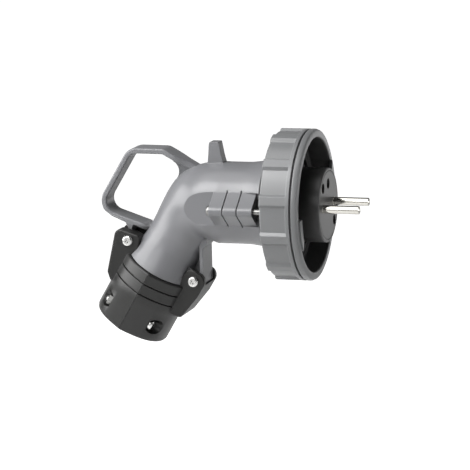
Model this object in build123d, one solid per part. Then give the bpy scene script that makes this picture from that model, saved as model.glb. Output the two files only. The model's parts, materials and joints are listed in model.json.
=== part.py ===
from build123d import *
import math
import os

os.makedirs("parts", exist_ok=True)

# All sizes in millimetres. X is the mating axis and points out of the plug, Z is up,
# the origin is the centre of the coupling ring's front rim.

# Fits
SEAT_GAP = 0.02
SLIDE_GAP = 0.05
LOOSE_GAP = 0.15
TURN_GAP = 0.35
CUT_PAST = 1.0

# Fasteners
M4_R = 2.0
M4_HOLE_R = 2.2
M4_HEAD_R = 4.0
M4_HEAD_H = 2.7
M4_NUT_AF = 7.0
M4_NUT_H = 3.2
M3_R = 1.5
M3_HEAD_R = 2.75
M3_HEAD_H = 2.0
HEAD_DOME = 0.6
SCREW_TIP = 0.4
SLOT_W = 1.2
SLOT_DEPTH = 1.1
CROSS_W = 0.8
CROSS_SPAN = 0.42

# Coupling ring
RING_R = 55.3
RING_LEN = 28.2
RING_WALL = 1.95
LIP_OVERLAP = 0.1
LIP_LEN = 4.2
LIP_STEP = 1.0
LIP_ROUND = 2.2
LIP_BREAK = 0.5
GROOVE_LEN = 1.7
GROOVE_DEPTH = 2.4
GROOVE_SLOPE = 0.4
FLANGE_LEN = 2.6
RIB_COUNT = 12
RIB_W = 6.2
RIB_H = 2.2
RIB_PHASE = 18.0
RIB_SLOPE = 0.8
RIB_BURY = 0.6
RIB_BACK_CHAMFER = 0.8
LUG_H = 4.7
LUG_PROUD = 1.3
LUG_START = 94.0
LUG_SPAN = 28.0
LUG_RAMP = 6.0
TURN_RANGE = 45.0
STOP_SPAN = 8.0
STOP_AT = 180.0
STOP_SLACK = 0.6
STOP_H = 3.3

# Snap ring
CLIP_T = 1.5
CLIP_BITE = 0.7
CLIP_W = 4.0
CLIP_GAP_MARGIN = 2.5

# Shroud
SHROUD_WALL = 1.5
SHROUD_BACK = 22.0
SHROUD_FLOOR = 6.0
HUB_STEP = 0.3

# Contact carrier
CARRIER_STEP = 2.9
CARRIER_PROUD = 9.0
CARRIER_FLANGE = 1.2
CARRIER_FLANGE_T = 3.2
FACE_RING_IN = 1.8
FACE_RING_W = 0.6
FACE_RING_DEPTH = 0.5
FACE_CHAMFER = 0.6

# Contacts, places as shares of the carrier's radius in Y and Z
PIN_NEAR_AT = (-0.522, -0.022)
PIN_FAR_AT = (0.522, 0.022)
SOCKET_A_AT = (-0.526, 0.533)
SOCKET_B_AT = (0.0, 0.585)
SOCKET_C_AT = (0.5625, -0.4926)
PIN_R = 3.0
PIN_OUT = 27.2
PIN_TIP = 1.4
PIN_ROOT_R = 3.3
PIN_COLLAR = 0.3
SOCKET_HOLE_R = 3.8
SOCKET_HOLE_DEPTH = 6.5
SLEEVE_R = 3.4
SLEEVE_BORE_R = 2.55
SLEEVE_DEPTH = 22.0
SHOULDER_SHARE = 0.17
SHOULDER_T = 2.6
TERMINAL_SHARE = 0.147
TERMINAL_LEN = 14.0
WIRE_R = 2.4
WIRE_DEPTH = 10.0
GRUB_R = 1.7
GRUB_LEN = 1.6
GRUB_SLOT_W = 0.6
GRUB_SLOT_DEPTH = 0.5
GRUB_SINK = 0.2

# Terminal block
BLOCK_T = 12.0
BLOCK_MARGIN = 0.2
BLOCK_SCREW_SHARE = 0.441
BLOCK_SCREW_LEN = 22.0
BLOCK_SCREW_SPIN = 20.0

# Seals
SEAL_MARGIN = 3.0
SEAL_W = 10.0
SEAL_T = 2.5
SEAL_LIP_H = 0.9
SEAL_LIP_W = 1.5
SEAL_SLOPE = 1.0
GASKET_T = 0.8

# Elbow body
BODY_END_X = -35.0
BODY_WALL = 4.1
TUBE_R = 30.1
FLARE_X = -52.0
FLARE_H = 2.2
FLARE_SLOPE = 0.22
ELBOW_X = -90.4
BEND = 59.6
BEND_INNER = 3.0
BEND_LEAD = 6.6
BEND_TAPER = (0.0, 0.0, 0.06, 0.32, 0.68, 0.88)
NECK_R = 21.6
NECK_END = 63.5
FLAT_DEPTH = 2.6
FLAT_START_X = -92.7
BOSS_SEAT_X = -69.6
BOSS_END_X = -37.2
BOSS_H = 11.9
BOSS_CREST_Z = 3.6
BOSS_ROUND = 2.4
BOSS_SCREW_H = 6.4
BOSS_GROOVES = (-59.2, -48.5)
BOSS_GROOVE_W = 0.9
BOSS_GROOVE_DEPTH = 1.3
FLANGE_SCREW_SPIN = 25.0

# Web under the tube and the lugs of the clamp
WEB_X = -84.1
WEB_T = 6.0
WEB_FLANGE_T = 2.4
WEB_FOOT = 3.0
WEB_ROOT = 0.7
LUG_HALF_T = 11.7
LUG_REACH = 6.8
LUG_LOW_REACH = 3.6
LUG_TOP = 42.5
OUTER_LUG_REACH = 6.4
OUTER_LUG_TOP = 38.7
OUTER_LUG_FLARE = 4.0
OUTER_LUG_RISE = 1.6
OUTER_STEM_W = 3.7
OUTER_LEDGE = 45.8

# Catch tab
TAB_TOP_Z = 45.1
TAB_BACK_X = -79.3
TAB_FRONT_X = -72.1
TAB_FOOT_X = -70.2
TAB_FOOT_Z = 35.2
TAB_GUSSET_X = -68.3
TAB_HALF_Y = 4.75
TAB_ROUND = 1.0
TAB_LEAN = 1.5

# Finger loop, centre line in X and Z
LOOP_LINE = ((-83.5, 21.2), (-113.7, 37.9), (-139.2, 38.1), (-165.8, -6.1), (-118.6, -22.0))
LOOP_BENDS = (7.0, 10.0, 11.0)
LOOP_T = 5.6
LOOP_W = 11.0
LOOP_ROUND = 1.9
LOOP_ROOT_R = 9.0

# Cable clamp, measured along the cable axis from where it meets the mating axis
CLAMP_TOP = 57.3
CLAMP_END = 106.7
BAND_END = 82.9
BAND_WALL = 6.4
BAND_STEP = 0.4
BAND_BREAK = 0.8
BAND_GROOVE_W = 1.1
BAND_GROOVE_DEPTH = 1.2
BARREL_ROUND = 2.4
SEAM_SHIFT = 3.5
NECK_GAP = 0.8
ENTRY_STEP = 4.6
ENTRY_TOP = 83.5
ENTRY_CHAMFER = 1.2
HALF_GAP = 0.1

# Clamp ears, corners as (across, along, round) from the ear screw, across pointing away from the cable
EAR_SCREW_T = 49.2
EAR_HALF_T = 16.0
EAR_EDGE = 0.8
OUTER_EAR = ((-12.0, 9.0, 0.0), (-6.8, -7.8, 3.5), (12.9, -3.2, 4.5), (2.7, 29.2, 4.0), (-2.0, 33.4, 0.0),
             (-12.0, 33.4, 0.0))
INNER_EAR = ((-12.0, 9.0, 0.0), (-9.0, -8.0, 4.0), (8.4, -6.8, 6.5), (8.2, 9.0, 8.0), (4.8, 29.4, 3.0),
             (-2.0, 31.0, 0.0), (-12.0, 31.0, 0.0))
EAR_SCREW_SPIN = 65.0
EAR_SCREW_TAIL = 1.2

# Pinch screws across the barrel
PINCH_T = 93.8
PINCH_WEB = 1.0
PINCH_SEAT = 16.4
PINCH_RECESS_R = 6.0
PINCH_TAIL = 1.5
PINCH_SPIN = 40.0

# Grommet
GROMMET_IN_R = 14.5
GROMMET_LEN = 17.2
GROMMET_CHAMFER = 1.5
WASHER_T = 2.0
WASHER_IN_R = 15.2

# Sizes that follow from the ones above
panel_r = RING_R - RIB_H
ring_bore_r = panel_r - RING_WALL
shroud_r = ring_bore_r - TURN_GAP
shroud_in_r = shroud_r - SHROUD_WALL
lip_in_r = shroud_in_r - LIP_OVERLAP
lug_in_r = lip_in_r - LUG_H
stop_in_r = shroud_r - STOP_H
shroud_front_x = -LIP_STEP - TURN_GAP
shroud_floor_x = -SHROUD_BACK + SHROUD_FLOOR
seal_out_r = shroud_in_r - SEAL_MARGIN
seal_in_r = seal_out_r - SEAL_W
tube_end_r = TUBE_R + FLARE_H
hub_r = tube_end_r - HUB_STEP
hub_end_x = BODY_END_X + GASKET_T
carrier_r = TUBE_R - CARRIER_STEP
hub_bore_r = carrier_r + LOOSE_GAP
carrier_flange_r = carrier_r + CARRIER_FLANGE
carrier_flange_x = BODY_END_X - SLIDE_GAP
carrier_back_x = carrier_flange_x - CARRIER_FLANGE_T
body_seat_r = carrier_flange_r + LOOSE_GAP
block_front_x = carrier_back_x - SLIDE_GAP
block_back_x = block_front_x - BLOCK_T
block_r = TUBE_R - BODY_WALL - LOOSE_GAP - BLOCK_MARGIN
shoulder_r = SHOULDER_SHARE * carrier_r
terminal_r = TERMINAL_SHARE * carrier_r
flat_y = TUBE_R - FLAT_DEPTH
flat_z = math.sqrt(TUBE_R ** 2 - flat_y ** 2)
boss_crest_y = TUBE_R + BOSS_H
flange_screw_y = TUBE_R + BOSS_SCREW_H
bend_r = TUBE_R + BEND_INNER
bend_radii = [TUBE_R + (NECK_R - TUBE_R) * share for share in BEND_TAPER]
bend_reach = bend_r * math.tan(math.radians(BEND / 2))
arc_x = ELBOW_X + bend_reach
tilt = 90.0 - BEND
cable_frame = Pos(ELBOW_X, 0, 0) * Rot(0, tilt, 0)
collar_bore_r = NECK_R + NECK_GAP
band_r = collar_bore_r + BAND_WALL
barrel_r = band_r - BAND_STEP
entry_r = NECK_R - ENTRY_STEP
ear_screw_s = band_r
lug_s = ear_screw_s + LUG_REACH
lug_low_s = ear_screw_s + LUG_LOW_REACH
outer_lug_s = ear_screw_s + OUTER_LUG_REACH
outer_stem_s = outer_lug_s - OUTER_STEM_W
lug_end = CLAMP_TOP - LOOSE_GAP
pinch_y = entry_r + M4_HOLE_R + PINCH_WEB
grommet_r = collar_bore_r - LOOSE_GAP
grommet_top = NECK_END + LOOSE_GAP
washer_top = ENTRY_TOP - SLIDE_GAP - WASHER_T


def x_turned(points):
    """Solid of revolution about the mating axis from (x, radius) points."""
    outline = Polyline(*[(x, 0, r) for x, r in points], close=True)
    return revolve(make_face(outline), Axis.X)


def x_rod(radius, x0, x1, y=0.0, z=0.0):
    """Cylinder along X between two x values."""
    return Pos((x0 + x1) / 2, y, z) * Rot(0, 90, 0) * Cylinder(radius, abs(x1 - x0))


def y_rod(radius, half_len, x=0.0, z=0.0):
    """Cylinder along Y, even about the XZ plane."""
    return Pos(x, 0, z) * Rot(90, 0, 0) * Cylinder(radius, 2 * half_len)


def z_rod(radius, z0, z1):
    """Cylinder on the Z axis between two z values."""
    return Pos(0, 0, (z0 + z1) / 2) * Cylinder(radius, abs(z1 - z0))


def z_turned(points):
    """Solid of revolution about Z from (radius, z) points."""
    outline = Polyline(*[(r, 0, z) for r, z in points], close=True)
    return revolve(make_face(outline), Axis.Z)


def xz_prism(points, half_y):
    """Prism with an outline of (x, z) points, even about the XZ plane."""
    outline = Polyline(*[(x, 0, z) for x, z in points], close=True)
    return extrude(make_face(outline), half_y, dir=(0, 1, 0), both=True)


def yz_prism(points, x0, x1):
    """Prism with an outline of (y, z) points between two x values."""
    outline = Polyline(*[(x0, y, z) for y, z in points], close=True)
    return extrude(make_face(outline), x1 - x0, dir=(1, 0, 0))


def rounded_flat(corners):
    """Flat face from (x, z, round) corners, drawn in x and y."""
    flat = Polygon(*[(x, z) for x, z, r in corners], align=None)
    for x, z, r in corners:
        if r > 0:
            corner = min(flat.vertices(), key=lambda v: math.hypot(v.X - x, v.Y - z))
            flat = fillet(corner, r)
    return flat


def hex_bar(across, x0, x1):
    """Hexagon bar on the X axis."""
    face = Plane((x0, 0, 0), x_dir=(0, 1, 0), z_dir=(1, 0, 0)) * RegularPolygon(across / 2, 6, False)
    return extrude(face, x1 - x0)


def pan_screw(shank_len, shank_r, head_r, head_h, spin=0.0, cross=False):
    """Pan head screw, head seat at the origin, shank along +X, head towards -X."""
    head = x_rod(head_r, -head_h, 0)
    rim = head.edges().group_by(Axis.X)[0]
    head = fillet(rim, head_h * HEAD_DOME)
    slot_x = -head_h + SLOT_DEPTH / 2
    if cross:
        wing = 2 * CROSS_SPAN * head_r
        head -= Pos(slot_x, 0, 0) * Rot(spin, 0, 0) * Box(SLOT_DEPTH, wing, CROSS_W)
        head -= Pos(slot_x, 0, 0) * Rot(spin, 0, 0) * Box(SLOT_DEPTH, CROSS_W, wing)
    else:
        head -= Pos(slot_x, 0, 0) * Rot(spin, 0, 0) * Box(SLOT_DEPTH, 2 * head_r + CUT_PAST, SLOT_W)
    shank = x_rod(shank_r, 0, shank_len)
    tip = shank.edges().group_by(Axis.X)[-1]
    return head + chamfer(tip, SCREW_TIP)


def clamp_point(s, t):
    """World x and z of a point s across and t along the cable axis."""
    a = math.radians(tilt)
    x = ELBOW_X + s * math.cos(a) - t * math.sin(a)
    z = -s * math.sin(a) - t * math.cos(a)
    return x, z


def sector(start, span, r0, r1):
    """Outline in y and z of part of a flat ring, angles from +Z about +X in degrees."""
    steps = 8
    angles = [math.radians(start + span * k / steps) for k in range(steps + 1)]
    inside = [(-r0 * math.sin(a), r0 * math.cos(a)) for a in angles]
    outside = [(-r1 * math.sin(a), r1 * math.cos(a)) for a in reversed(angles)]
    return inside + outside


def save(shape, name):
    """Write one node."""
    export_step(shape, "parts/" + name + ".step")


# Coupling ring: turned body, ribs between recessed panels, two bayonet lugs
groove_x = -LIP_LEN - GROOVE_LEN
flange_x = groove_x - FLANGE_LEN
ring_profile = [
    (0, lip_in_r + LIP_BREAK), (0, RING_R - LIP_ROUND), (-0.3 * LIP_ROUND, RING_R - 0.3 * LIP_ROUND),
    (-LIP_ROUND, RING_R), (-LIP_LEN, RING_R), (-LIP_LEN - GROOVE_SLOPE, RING_R - GROOVE_DEPTH),
    (groove_x + GROOVE_SLOPE, RING_R - GROOVE_DEPTH), (groove_x, RING_R), (flange_x, RING_R),
    (flange_x - RIB_BURY, panel_r), (-RING_LEN + RIB_BACK_CHAMFER, panel_r),
    (-RING_LEN, panel_r - RIB_BACK_CHAMFER), (-RING_LEN, ring_bore_r),
    (-LIP_STEP, ring_bore_r), (-LIP_STEP, lip_in_r), (-LIP_BREAK, lip_in_r),
]
ring = x_turned(ring_profile)
rib_top = math.sqrt(RING_R ** 2 - (RIB_W / 2) ** 2)
rib_foot = RIB_W / 2 + RIB_H * RIB_SLOPE
foot_top = math.sqrt(panel_r ** 2 - rib_foot ** 2)
rib_outline = [(-rib_foot, foot_top - RIB_BURY), (-rib_foot, foot_top), (-RIB_W / 2, rib_top),
               (RIB_W / 2, rib_top), (rib_foot, foot_top), (rib_foot, foot_top - RIB_BURY)]
rib = yz_prism(rib_outline, -RING_LEN, flange_x + RIB_BURY / 2)
rib_ends = rib.edges().filter_by(Axis.Y).group_by(Axis.X)[0].sort_by(Axis.Z)[-1:]
rib = chamfer(rib_ends, RIB_BACK_CHAMFER)
for i in range(RIB_COUNT):
    ring += Rot(RIB_PHASE + 360 / RIB_COUNT * i, 0, 0) * rib
lug_root_r = lip_in_r + RIB_BURY / 2
for half_turn in (0, 1):
    turn = LUG_START + 180 * half_turn
    lug = sector(turn, LUG_SPAN - LUG_RAMP, lug_in_r, lug_root_r)
    foot = math.radians(turn + LUG_SPAN)
    lug.insert(len(lug) // 2, (-lug_root_r * math.sin(foot), lug_root_r * math.cos(foot)))
    ring += yz_prism(lug, -LIP_STEP, LUG_PROUD)
clip_x1 = -SHROUD_BACK - TURN_GAP
clip_x0 = clip_x1 - CLIP_T
clip_groove_r = ring_bore_r + CLIP_BITE
clip_groove = x_rod(clip_groove_r, clip_x0 - SLIDE_GAP, clip_x1 + SLIDE_GAP)
clip_groove -= x_rod(ring_bore_r - CUT_PAST, clip_x0 - CUT_PAST, clip_x1 + CUT_PAST)
ring -= clip_groove
stop_low = STOP_AT - TURN_RANGE - STOP_SPAN / 2 - STOP_SLACK - STOP_SPAN
stop_high = STOP_AT + STOP_SPAN / 2 + STOP_SLACK
for start in (stop_low, stop_high):
    stop_rib = sector(start, STOP_SPAN, stop_in_r, ring_bore_r + RIB_BURY)
    ring += yz_prism(stop_rib, -RING_LEN + RIB_BACK_CHAMFER, clip_x0 - TURN_GAP)
save(ring, "coupling_ring")

# Snap ring, open where the shroud's stop passes
clip_r = clip_groove_r - SLIDE_GAP
clip = x_rod(clip_r, clip_x0, clip_x1) - x_rod(clip_r - CLIP_W, clip_x0 - CUT_PAST, clip_x1 + CUT_PAST)
gap_start = stop_low - CLIP_GAP_MARGIN
gap_span = stop_high + STOP_SPAN + CLIP_GAP_MARGIN - gap_start
clip_gap = sector(gap_start, gap_span, clip_r - 2 * CLIP_W, clip_r + CLIP_W)
clip -= yz_prism(clip_gap, clip_x0 - CUT_PAST, clip_x1 + CUT_PAST)
save(clip, "ring_clip")

# Shroud: bowl, floor and hub
shroud = x_turned([
    (shroud_front_x, shroud_in_r), (shroud_front_x, shroud_r), (-SHROUD_BACK, shroud_r),
    (-SHROUD_BACK, hub_r), (hub_end_x, hub_r), (hub_end_x, hub_bore_r),
    (shroud_floor_x, hub_bore_r), (shroud_floor_x, shroud_in_r),
])
screw_reach = shroud_floor_x - CUT_PAST
for side in (-1, 1):
    shroud -= x_rod(M4_R + SLIDE_GAP, hub_end_x - CUT_PAST, screw_reach, side * flange_screw_y)
stop_flat = sector(STOP_AT - STOP_SPAN / 2, STOP_SPAN, stop_in_r, shroud_r)
shroud += yz_prism(stop_flat, -RING_LEN + 2 * RIB_BACK_CHAMFER, -SHROUD_BACK + CUT_PAST)
save(shroud, "shroud")

# Mating seal on the floor of the bowl, two sealing lips
seal_x0 = shroud_floor_x + SLIDE_GAP
seal_mid = (seal_in_r + seal_out_r) / 2
lip_x = seal_x0 + SEAL_T
land_x = lip_x - SEAL_LIP_H
inner_lip_r = seal_in_r + SEAL_LIP_W
outer_lip_r = seal_mid + SEAL_LIP_W
seal = x_turned([
    (seal_x0, seal_in_r), (lip_x, seal_in_r), (lip_x, inner_lip_r), (land_x, inner_lip_r + SEAL_SLOPE),
    (land_x, seal_mid - SEAL_SLOPE), (lip_x, seal_mid), (lip_x, outer_lip_r),
    (land_x, outer_lip_r + SEAL_SLOPE), (land_x, seal_out_r), (seal_x0, seal_out_r),
])
save(seal, "mating_seal")

# Flange gasket
gasket = x_rod(hub_r, BODY_END_X + SEAT_GAP, hub_end_x - SEAT_GAP)
gasket -= x_rod(hub_bore_r, BODY_END_X - CUT_PAST, hub_end_x + CUT_PAST)
save(gasket, "flange_gasket")

# Contact carrier
carrier = x_turned([
    (CARRIER_PROUD, 0), (CARRIER_PROUD, carrier_r - FACE_CHAMFER),
    (CARRIER_PROUD - FACE_CHAMFER, carrier_r), (carrier_flange_x, carrier_r),
    (carrier_flange_x, carrier_flange_r), (carrier_back_x, carrier_flange_r), (carrier_back_x, 0),
])
face_ring_r = carrier_r - FACE_RING_IN
face_ring = x_rod(face_ring_r, CARRIER_PROUD - FACE_RING_DEPTH, CARRIER_PROUD + CUT_PAST)
face_ring -= x_rod(face_ring_r - FACE_RING_W, CARRIER_PROUD - CUT_PAST, CARRIER_PROUD + 2 * CUT_PAST)
carrier -= face_ring


def contact_spot(place):
    """Y and z of a contact from its place in shares of the carrier's radius."""
    return place[0] * carrier_r, place[1] * carrier_r


pin_spots = {"contact_pin_near": contact_spot(PIN_NEAR_AT), "contact_pin_far": contact_spot(PIN_FAR_AT)}
socket_spots = {"socket_contact_a": contact_spot(SOCKET_A_AT), "socket_contact_b": contact_spot(SOCKET_B_AT),
                "socket_contact_c": contact_spot(SOCKET_C_AT)}
contact_spots = list(pin_spots.values()) + list(socket_spots.values())
block_screw_yz = BLOCK_SCREW_SHARE * carrier_r
pin_root_x = CARRIER_PROUD + PIN_COLLAR
for y, z in pin_spots.values():
    carrier -= x_rod(PIN_ROOT_R + SLIDE_GAP, carrier_back_x - CUT_PAST, CARRIER_PROUD + CUT_PAST, y, z)
for y, z in socket_spots.values():
    carrier -= x_rod(SLEEVE_R + SLIDE_GAP, carrier_back_x - CUT_PAST, CARRIER_PROUD, y, z)
    carrier -= x_rod(SOCKET_HOLE_R, CARRIER_PROUD - SOCKET_HOLE_DEPTH, CARRIER_PROUD + CUT_PAST, y, z)
block_screw_x = block_back_x + BLOCK_SCREW_LEN
for c in (-block_screw_yz, block_screw_yz):
    carrier -= x_rod(M3_R + SLIDE_GAP, carrier_back_x - CUT_PAST, block_screw_x + CUT_PAST, c, c)
save(carrier, "contact_carrier")

# Contacts: front end, trapped shoulder and terminal barrel
terminal_x = block_back_x - TERMINAL_LEN
grub_x = terminal_x + WIRE_DEPTH / 2


def terminal_end(y, z):
    """Shoulder and terminal barrel of one contact with its wire and screw holes."""
    body = x_rod(shoulder_r, block_front_x - SHOULDER_T, block_front_x, y, z)
    body += x_rod(terminal_r, terminal_x, block_front_x - SHOULDER_T, y, z)
    body -= x_rod(WIRE_R, terminal_x - CUT_PAST, terminal_x + WIRE_DEPTH, y, z)
    body -= Pos(grub_x, y, z + terminal_r) * Cylinder(GRUB_R + SLIDE_GAP, 2 * terminal_r)
    return body


for name, (y, z) in pin_spots.items():
    tip_x = CARRIER_PROUD + PIN_OUT
    pin = x_rod(PIN_R, block_front_x, tip_x, y, z)
    pin = chamfer(pin.edges().group_by(Axis.X)[-1], PIN_TIP / 2, PIN_TIP)
    pin += x_rod(PIN_ROOT_R, block_front_x, pin_root_x, y, z)
    save(pin + terminal_end(y, z), name)
for name, (y, z) in socket_spots.items():
    sleeve_x = CARRIER_PROUD - SOCKET_HOLE_DEPTH
    sleeve = x_rod(SLEEVE_R, block_front_x, sleeve_x, y, z)
    sleeve -= x_rod(SLEEVE_BORE_R, sleeve_x - SLEEVE_DEPTH, sleeve_x + CUT_PAST, y, z)
    save(sleeve + terminal_end(y, z), name)

# Grub screws of the terminals
grub_list = []
for y, z in contact_spots:
    grub_slot = Box(2 * GRUB_R + CUT_PAST, GRUB_SLOT_W, 2 * GRUB_SLOT_DEPTH)
    grub = Cylinder(GRUB_R, GRUB_LEN) - Pos(0, 0, GRUB_LEN / 2) * grub_slot
    grub_list.append(Pos(grub_x, y, z + terminal_r - GRUB_LEN / 2 - GRUB_SINK) * grub)
save(Compound(grub_list), "terminal_screws")

# Terminal block
block = x_rod(block_r, block_back_x, block_front_x)
shoulder_x = block_front_x - SHOULDER_T - SLIDE_GAP
for y, z in contact_spots:
    block -= x_rod(terminal_r + SLIDE_GAP, block_back_x - CUT_PAST, block_front_x + CUT_PAST, y, z)
    block -= x_rod(shoulder_r + SLIDE_GAP, shoulder_x, block_front_x + CUT_PAST, y, z)
for c in (-block_screw_yz, block_screw_yz):
    block -= x_rod(M3_R + SLIDE_GAP, block_back_x - CUT_PAST, block_front_x + CUT_PAST, c, c)
save(block, "terminal_block")

# Screws that hold the terminal block
block_screw = pan_screw(BLOCK_SCREW_LEN, M3_R, M3_HEAD_R, M3_HEAD_H, BLOCK_SCREW_SPIN)
block_screws = []
for c in (-block_screw_yz, block_screw_yz):
    block_screws.append(Pos(block_back_x - SEAT_GAP, c, c) * block_screw)
save(Compound(block_screws), "carrier_screws")

# Elbow body: turned tube with a flared end, a bend swept through narrowing circles and a plain neck
bend_start_x = arc_x + BEND_LEAD
neck_start = bend_reach + 3 * BEND_LEAD
neck_dir = (-math.cos(math.radians(BEND)), 0, -math.sin(math.radians(BEND)))


def bend_point(angle):
    """Point of the bend's centre line at an angle from the straight tube."""
    a = math.radians(angle)
    return (arc_x - bend_r * math.sin(a), 0, -bend_r + bend_r * math.cos(a))


def bend_section(angle, radius):
    """Circle across the bend at an angle from the straight tube."""
    a = math.radians(angle)
    return Plane(bend_point(angle), x_dir=(0, 1, 0), z_dir=(-math.cos(a), 0, -math.sin(a))) * Circle(radius)


def neck_section(t, radius):
    """Circle across the neck, t along the cable axis."""
    x, z = clamp_point(0, t)
    return Plane((x, 0, z), x_dir=(0, 1, 0), z_dir=neck_dir) * Circle(radius)


def elbow_solid(inset, extra):
    """Tube, elbow and neck with all radii less by the inset, ends longer by extra."""
    end_x = BODY_END_X + extra
    flare = Spline((end_x, 0, tube_end_r - inset), (FLARE_X, 0, TUBE_R - inset),
                   tangents=((-1, 0, -FLARE_SLOPE), (-1, 0, 0)))
    rest = Polyline((FLARE_X, 0, TUBE_R - inset), (bend_start_x, 0, TUBE_R - inset),
                    (bend_start_x, 0, 0), (end_x, 0, 0), (end_x, 0, tube_end_r - inset))
    tube = revolve(make_face(flare.edges() + rest.edges()), Axis.X)
    start = Plane((bend_start_x, 0, 0), x_dir=(0, 1, 0), z_dir=(-1, 0, 0)) * Circle(TUBE_R - inset)
    sections = [start]
    steps = len(bend_radii) - 1
    for i, radius in enumerate(bend_radii):
        sections.append(bend_section(BEND * i / steps, radius - inset))
    for i in (1, 2, 3):
        radius = bend_radii[-1] + (NECK_R - bend_radii[-1]) * i / 3
        sections.append(neck_section(bend_reach + i * BEND_LEAD, radius - inset))
    neck_x, neck_z = clamp_point(0, neck_start)
    bend_line = Wire([Line((bend_start_x, 0, 0), bend_point(0)),
                      ThreePointArc(bend_point(0), bend_point(BEND / 2), bend_point(BEND)),
                      Line(bend_point(BEND), (neck_x, 0, neck_z))])
    bend = sweep(sections, path=bend_line, multisection=True)
    neck_len = NECK_END + extra - neck_start
    neck = extrude(sections[-1], neck_len, dir=neck_dir)
    return tube + bend + neck


def boss_outline(side, inset):
    """Ridge of a side boss in y and z, smaller all round by the inset."""
    crest_y = boss_crest_y - inset
    crest_z = BOSS_CREST_Z - inset / 2
    foot_z = flat_z - inset
    upper = [(crest_y, crest_z * 0.3), (crest_y - 0.3 * BOSS_ROUND, crest_z * 0.75),
             (crest_y - BOSS_ROUND, crest_z), (flat_y, foot_z), (flat_y - CUT_PAST, foot_z)]
    lower = [(y, -z) for y, z in reversed(upper)]
    return [(side * y, z) for y, z in lower + upper]


body = elbow_solid(0, 0)
for side in (-1, 1):
    pocket_len = BODY_END_X - FLAT_START_X + CUT_PAST
    pocket_d = boss_crest_y - flat_y
    pocket_at = Pos(FLAT_START_X + pocket_len / 2, side * (flat_y + pocket_d / 2), 0)
    body -= pocket_at * Box(pocket_len, pocket_d, 2 * flat_z)
    body += yz_prism(boss_outline(side, 0), BOSS_SEAT_X, BOSS_END_X)
    for x in BOSS_GROOVES:
        x0 = x - BOSS_GROOVE_W / 2
        x1 = x + BOSS_GROOVE_W / 2
        slit = yz_prism(boss_outline(side, -BOSS_GROOVE_DEPTH), x0, x1)
        core = yz_prism(boss_outline(side, BOSS_GROOVE_DEPTH), x0, x1)
        body -= slit - core

# Catch tab with its gusset
tab_root_z = TUBE_R - BODY_WALL / 2
tab = xz_prism([(TAB_BACK_X - TAB_LEAN, tab_root_z), (TAB_BACK_X, TAB_TOP_Z), (TAB_FRONT_X, TAB_TOP_Z),
                (TAB_FOOT_X, TAB_FOOT_Z), (TAB_GUSSET_X, tab_root_z)], TAB_HALF_Y)
tab_edges = tab.edges().filter_by(Axis.Y).group_by(Axis.Z)[-1]
tab = fillet(tab_edges, TAB_ROUND)
body += tab

# Finger loop: a bar of even width along its centre line, with rounded bends and edges


def loop_side(shift):
    """Corner points of the loop's centre line moved sideways by a shift."""
    moved = []
    for i, (x, z) in enumerate(LOOP_LINE):
        normals = []
        for j in (i - 1, i):
            if 0 <= j < len(LOOP_LINE) - 1:
                dx = LOOP_LINE[j + 1][0] - LOOP_LINE[j][0]
                dz = LOOP_LINE[j + 1][1] - LOOP_LINE[j][1]
                n = math.hypot(dx, dz)
                normals.append((-dz / n, dx / n))
        nx = sum(d[0] for d in normals) / len(normals)
        nz = sum(d[1] for d in normals) / len(normals)
        k = shift / (nx * nx + nz * nz)
        moved.append((x + nx * k, z + nz * k))
    return moved


def along_line(point, step, centre, reach):
    """Point of a line, from a point by a unit step, that lies at a reach from a centre."""
    dx = point[0] - centre[0]
    dz = point[1] - centre[1]
    half = dx * step[0] + dz * step[1]
    k = -half + math.sqrt(half * half - dx * dx - dz * dz + reach * reach)
    return point[0] + k * step[0], point[1] + k * step[1]


half_bar = LOOP_T / 2
loop_in = loop_side(half_bar)
loop_out = loop_side(-half_bar)
bends_out = [bend + half_bar for bend in LOOP_BENDS]
bends_in = [bend - half_bar for bend in LOOP_BENDS]
loop_corners = []
for line, bends in ((loop_out, bends_out), (loop_in[::-1], bends_in[::-1])):
    for (x, z), bend in zip(line, [0.0] + bends + [0.0]):
        loop_corners.append((x, z, bend))
loop = extrude(Plane.XZ * rounded_flat(loop_corners), LOOP_W / 2, both=True)
loop_sides = loop.edges().group_by(Axis.Y)
long_edges = [e for e in loop_sides[0] + loop_sides[-1] if e.length > LOOP_T + LOOSE_GAP]
loop = fillet(long_edges, LOOP_ROUND)
body += loop

# Rounded corner between the loop's upper bar and the outside of the bend
bar_dx = LOOP_LINE[1][0] - LOOP_LINE[0][0]
bar_dz = LOOP_LINE[1][1] - LOOP_LINE[0][1]
bar_len = math.hypot(bar_dx, bar_dz)
bar_step = (bar_dx / bar_len, bar_dz / bar_len)
bar_down = (-bar_step[1], bar_step[0])
bend_centre = (arc_x, -bend_r)
bend_out_r = bend_r + bend_radii[3]
low_start = (loop_in[0][0] + bar_down[0] * LOOP_ROOT_R, loop_in[0][1] + bar_down[1] * LOOP_ROOT_R)
round_at = along_line(low_start, bar_step, bend_centre, bend_out_r + LOOP_ROOT_R)
bar_back = LOOP_ROOT_R + half_bar
on_bar = (round_at[0] - bar_down[0] * bar_back, round_at[1] - bar_down[1] * bar_back)
share = (bend_out_r - half_bar) / (bend_out_r + LOOP_ROOT_R)
on_bend = (bend_centre[0] + (round_at[0] - bend_centre[0]) * share,
           bend_centre[1] + (round_at[1] - bend_centre[1]) * share)
gusset_half = LOOP_W / 2 - LOOP_ROUND
gusset = xz_prism([LOOP_LINE[0], on_bar, round_at, on_bend], gusset_half)
gusset -= y_rod(LOOP_ROOT_R, gusset_half + CUT_PAST, round_at[0], round_at[1])
body += gusset

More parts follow.
